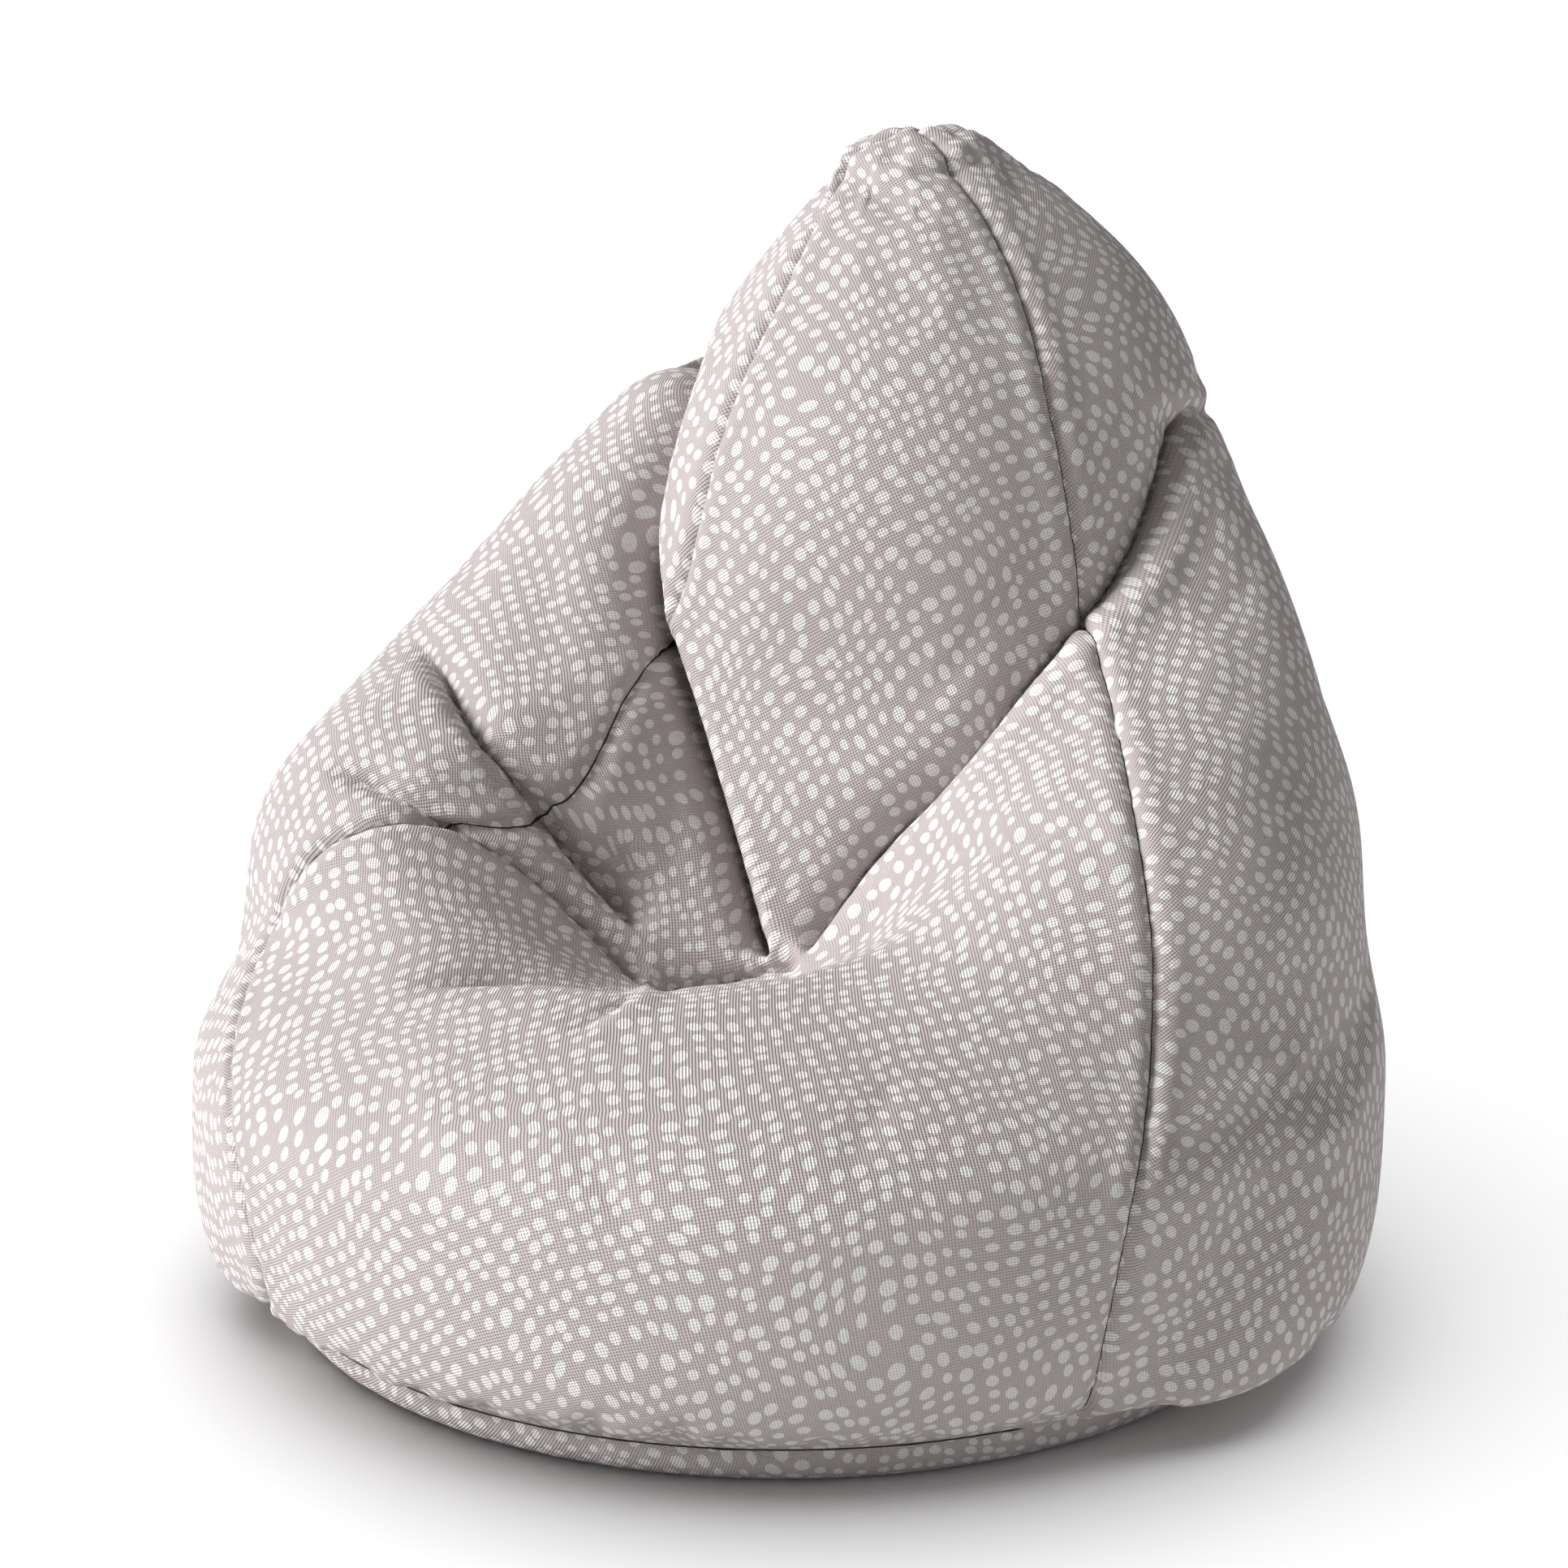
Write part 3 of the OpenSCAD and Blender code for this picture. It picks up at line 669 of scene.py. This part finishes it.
def plain_material(name, color, rough, metal=0.0, grain=600.0, depth=0.0002, spread=0.85):
    """A finish with fine uneven colour and bump."""
    n = Nodes(name)
    co = n.tree.nodes.new("ShaderNodeTexCoord")
    noise = n.tree.nodes.new("ShaderNodeTexNoise")
    n.put(noise, "Vector", co.outputs["Object"])
    n.put(noise, "Scale", grain)
    n.put(noise, "Detail", 3.0)
    dark = tuple(c * spread for c in color) + (1,)
    n.put(n.bsdf, "Base Color", n.mix(noise.outputs[0], dark, tuple(color) + (1,)))
    n.put(n.bsdf, "Roughness", n.ramp(noise.outputs[0], 0.2, 0.8, rough * 0.9, min(1.0, rough * 1.1)))
    n.put(n.bsdf, "Metallic", metal)
    bump = n.tree.nodes.new("ShaderNodeBump")
    n.put(bump, "Strength", 0.4)
    n.put(bump, "Distance", depth)
    n.put(bump, "Height", noise.outputs[0])
    n.put(n.bsdf, "Normal", bump.outputs[0])
    return n.mat


# ---------------------------------------------------------------- pieces
def zip_pull_in(p, name):
    """Opens the centre edge of the two rear panels so that the zip shows between them."""
    side = {"rear_right": -1, "rear_left": 0}[name]
    x_sign = 1.0 if name == "rear_right" else -1.0
    z = p[:, side, 2]
    above = ease(ZIP_Z0 - 0.022, ZIP_Z0 - 0.006, z)
    below = 1 - ease(ZIP_Z1 + 0.006, ZIP_Z1 + 0.022, z)
    open_by = ZIP_HALF * above * below
    x = p[..., 0] * x_sign
    room = 0.06
    moved = open_by[:, None] + x * (1 - open_by[:, None] / room)
    p = p.copy()
    p[..., 0] = np.where(x < room, moved, x) * x_sign
    return p


SIM_STEP = 4
SIM_FRAMES = 14
SIM_LIMIT = 0.009


def settle(p):
    """Cloth simulation of the whole cover with some slack, swelled a little by the fill.

    The base edge, the peak and the zip are held. Returns how far each point moved, at most SIM_LIMIT.
    """
    rows = np.unique(np.append(np.arange(0, p.shape[0], SIM_STEP), p.shape[0] - 1))
    cols = np.unique(np.append(np.arange(0, p.shape[1] - 1, SIM_STEP), p.shape[1] - 1))
    small = p[rows][:, cols[:-1]]
    nr, nc = small.shape[:2]
    obj = mesh_object("settling", small.reshape(-1, 3), grid_faces(nr, nc, wrap=True))
    near_zip = (np.abs(small[..., 0]) < 0.07) & (small[..., 1] > 0.3) & (small[..., 2] < 0.62)
    near_zip[:2] = near_zip[-3:] = True
    pins = obj.vertex_groups.new(name="pins")
    pins.add(np.nonzero(near_zip.ravel())[0].tolist(), 1.0, "REPLACE")
    cloth = obj.modifiers.new("cloth", "CLOTH")
    cfg = cloth.settings
    cfg.quality = 6
    cfg.mass = 0.25
    cfg.tension_stiffness = cfg.compression_stiffness = 18
    cfg.shear_stiffness = 6
    cfg.bending_stiffness = 0.35
    cfg.tension_damping = cfg.compression_damping = 12
    cfg.air_damping = 6
    cfg.vertex_group_mass = "pins"
    cfg.pin_stiffness = 1.0
    cfg.shrink_min = cfg.shrink_max = -0.035
    cfg.use_pressure = True
    cfg.uniform_pressure_force = 0.6
    cfg.effector_weights.gravity = 0
    cloth.collision_settings.use_collision = False
    cloth.point_cache.frame_start = 1
    cloth.point_cache.frame_end = SIM_FRAMES
    for frame_no in range(1, SIM_FRAMES + 1):
        bpy.context.scene.frame_set(frame_no)
    seen = obj.evaluated_get(bpy.context.evaluated_depsgraph_get())
    out = np.empty(nr * nc * 3, dtype=np.float32)
    seen.data.vertices.foreach_get("co", out)
    bpy.data.objects.remove(obj)
    bpy.context.scene.frame_set(1)
    move = out.reshape(nr, nc, 3) - small
    size = np.linalg.norm(move, axis=-1, keepdims=True)
    move = move * np.minimum(1, SIM_LIMIT / np.maximum(size, 1e-9))
    move = np.concatenate([move, move[:, :1]], 1)
    return to_full(move, rows, cols, p.shape)


def build_cover():
    rng = np.random.default_rng(7)
    turn = ring_turns()
    base = relax(skin(turn, np.repeat(V[:, None], turn.shape[1], 1)))
    pressed = press_folds(base)[0]
    pressed = pressed + settle(pressed)
    edges = {}
    at = 0
    for k, name in enumerate(RING):
        cols = slice(at, at + COLS[name] + 1)
        at += COLS[name]
        uv = flatten(base[:, cols])
        p = pressed[:, cols]
        if name.startswith("rear"):
            p = zip_pull_in(p, name)
        p = seam_press(p, rng)
        mat = cloth_material(name + "_cloth", (0.9, -0.5, 0.35, 0.2, -0.8)[k], (k * 0.37, k * 0.21))
        obj = mesh_object(name + "_cover", p.reshape(-1, 3), grid_faces(*p.shape[:2]), uv.reshape(-1, 2), mat)
        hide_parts(name + "_panel")
        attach(obj, BAG)
        edges[name] = (p[:, 0], p[:, -1])
    return edges


def tube(name, path, radius, material, sides=8):
    """A round thread of one thickness along a path."""
    path = np.array(path)
    along = np.gradient(path, axis=0)
    along /= np.linalg.norm(along, axis=1, keepdims=True)
    ref = np.where(np.abs(along[:, 2:]) > 0.9, [[1.0, 0, 0]], [[0, 0, 1.0]])
    a = np.cross(along, ref)
    a /= np.linalg.norm(a, axis=1, keepdims=True)
    b = np.cross(along, a)
    ang = 2 * np.pi * np.arange(sides) / sides
    spoke = np.cos(ang)[None, :, None] * a[:, None] + np.sin(ang)[None, :, None] * b[:, None]
    ring = path[:, None] + radius * spoke
    faces = grid_faces(len(path), sides, wrap=True)
    return mesh_object(name, ring.reshape(-1, 3), faces, material=material)


def build_seams(edges, thread):
    joins = {"front_left": ("left", 1), "front_right": ("front", 1), "rear_right": ("right", 1),
             "rear_left": ("rear_left", 1), "rear_centre": ("rear_right", 1)}
    for seam, (panel, side) in joins.items():
        path = edges[panel][side].copy()
        if seam == "rear_centre":
            path = path[path[:, 2] > ZIP_Z1 + 0.024]
        n = path - np.array([0.0, 0.10, 0.25])
        n /= np.linalg.norm(n, axis=1, keepdims=True)
        obj = tube(seam + "_stitching", path - n * 0.0004, 0.0010, thread)
        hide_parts(seam + "_seam")
        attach(obj, BAG)


def build_base(thread):
    """Base disc: flat on the floor, turned up to the seam with small gathers."""
    turn = np.radians(np.arange(0, 360, 0.75))
    profile = [(FLOOR_R * s, 0.0) for s in (0.02, 0.25, 0.5, 0.75, 0.9, 0.97)]
    for t in np.linspace(0, 1, 9):
        profile.append((FLOOR_R + (BASE_R - FLOOR_R) * np.sin(t * np.pi / 2),
                        SEAM_Z * (1 - np.cos(t * np.pi / 2)) * 0.97))
    rings = []
    for r, z in profile:
        lift = z / SEAM_Z
        wave = 0.0010 * lift * (np.sin(turn * 37) + 0.6 * np.sin(turn * 61 + 1))
        rr = r + wave
        rings.append(np.stack([rr * np.sin(turn), -rr * np.cos(turn), np.full(len(turn), z)], -1))
    p = np.array(rings)
    uv = p[..., :2] / np.maximum(np.linalg.norm(p[..., :2], axis=-1, keepdims=True), 1e-6)
    length = np.concatenate([[0.02 * FLOOR_R], 0.02 * FLOOR_R + np.cumsum(
        np.linalg.norm(np.diff(np.array(profile), axis=0), axis=1))])
    uv = uv * length[:, None, None]
    mat = cloth_material("base_cloth", 0.3, (2.1, 0.4))
    faces = grid_faces(*p.shape[:2], wrap=True)
    obj = mesh_object("base_cover", p.reshape(-1, 3), faces, uv.reshape(-1, 2), mat)
    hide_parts("base_panel")
    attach(obj, BAG)
    seam_r = BASE_R + 0.0002
    ring = np.stack([seam_r * np.sin(turn), -seam_r * np.cos(turn), np.full(len(turn), SEAM_Z)], -1)
    ring = np.vstack([ring, ring[:1]])
    obj = tube("base_stitching", ring, 0.0011, thread)
    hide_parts("base_seam")
    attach(obj, BAG)


def build_inside():
    """Liner bag and bead fill, kept just inside the cover and its folds."""
    turn = np.radians(np.arange(-180, 180, 2.5))
    t, v = np.meshgrid(turn, np.linspace(0, V_TOP, 90))
    base = skin(t, v)
    wide = np.concatenate([base[:, -1:], base, base[:, :1]], 1)
    n = normals(wide)[:, 1:-1]
    sink = spread_max(np.maximum(press_folds(wide)[1][:, 1:-1], 0), 3)
    paper = plain_material("liner_cloth", (0.80, 0.78, 0.75), 0.85, grain=700.0)
    beads = plain_material("beads", (0.86, 0.86, 0.84), 0.6, grain=260.0, depth=0.001)
    lift = np.array([0.0, 0.0, 0.006])
    for name, node, slot, inset, mat in (("liner_wall", "liner_side", "liner_cloth", 0.0075, paper),
                                         ("bead_mass", "bead_fill", "beads", 0.0110, beads)):
        p = base - n * (inset + sink)[..., None]
        p[0] = base[0] * np.array([0.975, 0.975, 1.0]) + lift * 0.2
        rows, cols = p.shape[:2]
        verts = p.reshape(-1, 3)
        faces = grid_faces(rows, cols, wrap=True)
        if node == "bead_fill":
            low = p[0] * np.array([FLOOR_R / BASE_R * 0.98, FLOOR_R / BASE_R * 0.98, 0]) + lift
            verts = np.vstack([verts, low, [[0, 0, 0.006]], [p[-1].mean(0)]])
            k = rows * cols
            i = np.arange(cols)
            i2 = (i + 1) % cols
            faces = np.vstack([faces, np.stack([k + i, k + i2, i2, i], -1)])
            tris = [(k + a, k + b, k + cols) for b, a in zip(i, i2)]
            tris += [((rows - 1) * cols + a, (rows - 1) * cols + b, k + cols + 1) for a, b in zip(i, i2)]
            mesh = bpy.data.meshes.new(name)
            mesh.from_pydata(verts.tolist(), [], faces.tolist() + tris)
            mesh.materials.append(mat)
            obj = bpy.data.objects.new(name, mesh)
            bpy.context.collection.objects.link(obj)
        else:
            obj = mesh_object(name, verts, faces, material=mat)
        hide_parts(node)
        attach(obj, BAG)


def light(name, energy, direction, spread):
    """A sun shining from a direction, its disc spread degrees wide."""
    data = bpy.data.lights.new(name, "SUN")
    data.energy = energy
    data.angle = np.radians(spread)
    obj = bpy.data.objects.new(name, data)
    bpy.context.collection.objects.link(obj)
    obj.rotation_euler = Vector(direction).to_track_quat("Z", "Y").to_euler()
    return obj


def build_stage():
    """White floor, even sky and the two suns."""
    s = 40.0
    verts = np.array([(-s, -s, 0), (s, -s, 0), (s, s, 0), (-s, s, 0)])
    paper = plain_material("floor_paper", (0.93, 0.93, 0.93), 0.9, grain=3.0, spread=0.99)
    floor = mesh_object("floor", verts, np.array([[0, 1, 2, 3]]), smooth_it=False, material=paper)
    world = bpy.data.worlds.new("studio")
    world.use_nodes = True
    world.node_tree.nodes["Background"].inputs[0].default_value = (1, 1, 1, 1)
    world.node_tree.nodes["Background"].inputs[1].default_value = 0.26
    bpy.context.scene.world = world
    level = VIEW_BACK * np.array([1, 1, 0])
    key = light("key", 4.6, -VIEW_RIGHT * 0.95 + level * 0.24 + np.array([0, 0, 0.60]), 26)
    wash = light("floor_wash", 2.8, -VIEW_RIGHT * 0.10 + level * -0.10 + np.array([0, 0, 1.0]), 75)
    # the key lights the bag alone and the wash the floor alone, as on a lit sweep
    for lamp, state in ((key, "EXCLUDE"), (wash, "INCLUDE")):
        group = bpy.data.collections.new(lamp.name + "_receivers")
        group.objects.link(floor)
        lamp.light_linking.receiver_collection = group
        group.collection_objects[0].light_linking.link_state = state


add_camera()
thread = thread_material()
edges = build_cover()
build_seams(edges, thread)
build_base(thread)
build_inside()
build_stage()
bpy.context.scene.view_settings.view_transform = "Standard"

metal = plain_material("zip_metal", (0.54, 0.54, 0.56), 0.32, 1.0, 900.0)
tape = plain_material("zip_tape_weave", (0.42, 0.38, 0.38), 0.9, grain=1400.0)
coil = plain_material("zip_coil", (0.36, 0.33, 0.33), 0.5, grain=1200.0)
flap = plain_material("garage_cloth", CLOTH[:3], 0.92, grain=900.0)
paper = plain_material("liner_floor", (0.80, 0.78, 0.75), 0.85, grain=700.0)
satin = plain_material("label_satin", (0.86, 0.85, 0.82), 0.55, grain=1600.0, spread=0.94)
FINISHES = {"zip_slider": metal, "zip_pull": metal, "zip_bottom_stop": metal, "zip_top_stop": metal,
            "zip_tape_left": tape, "zip_tape_right": tape, "zip_teeth_left": coil, "zip_teeth_right": coil,
            "zip_garage": flap, "peak_tack": flap, "liner_base": paper, "liner_seam": paper,
            "care_label": satin}
for node, mat in FINISHES.items():
    frame["nodes"][node].data.materials.clear()
    frame["nodes"][node].data.materials.append(mat)
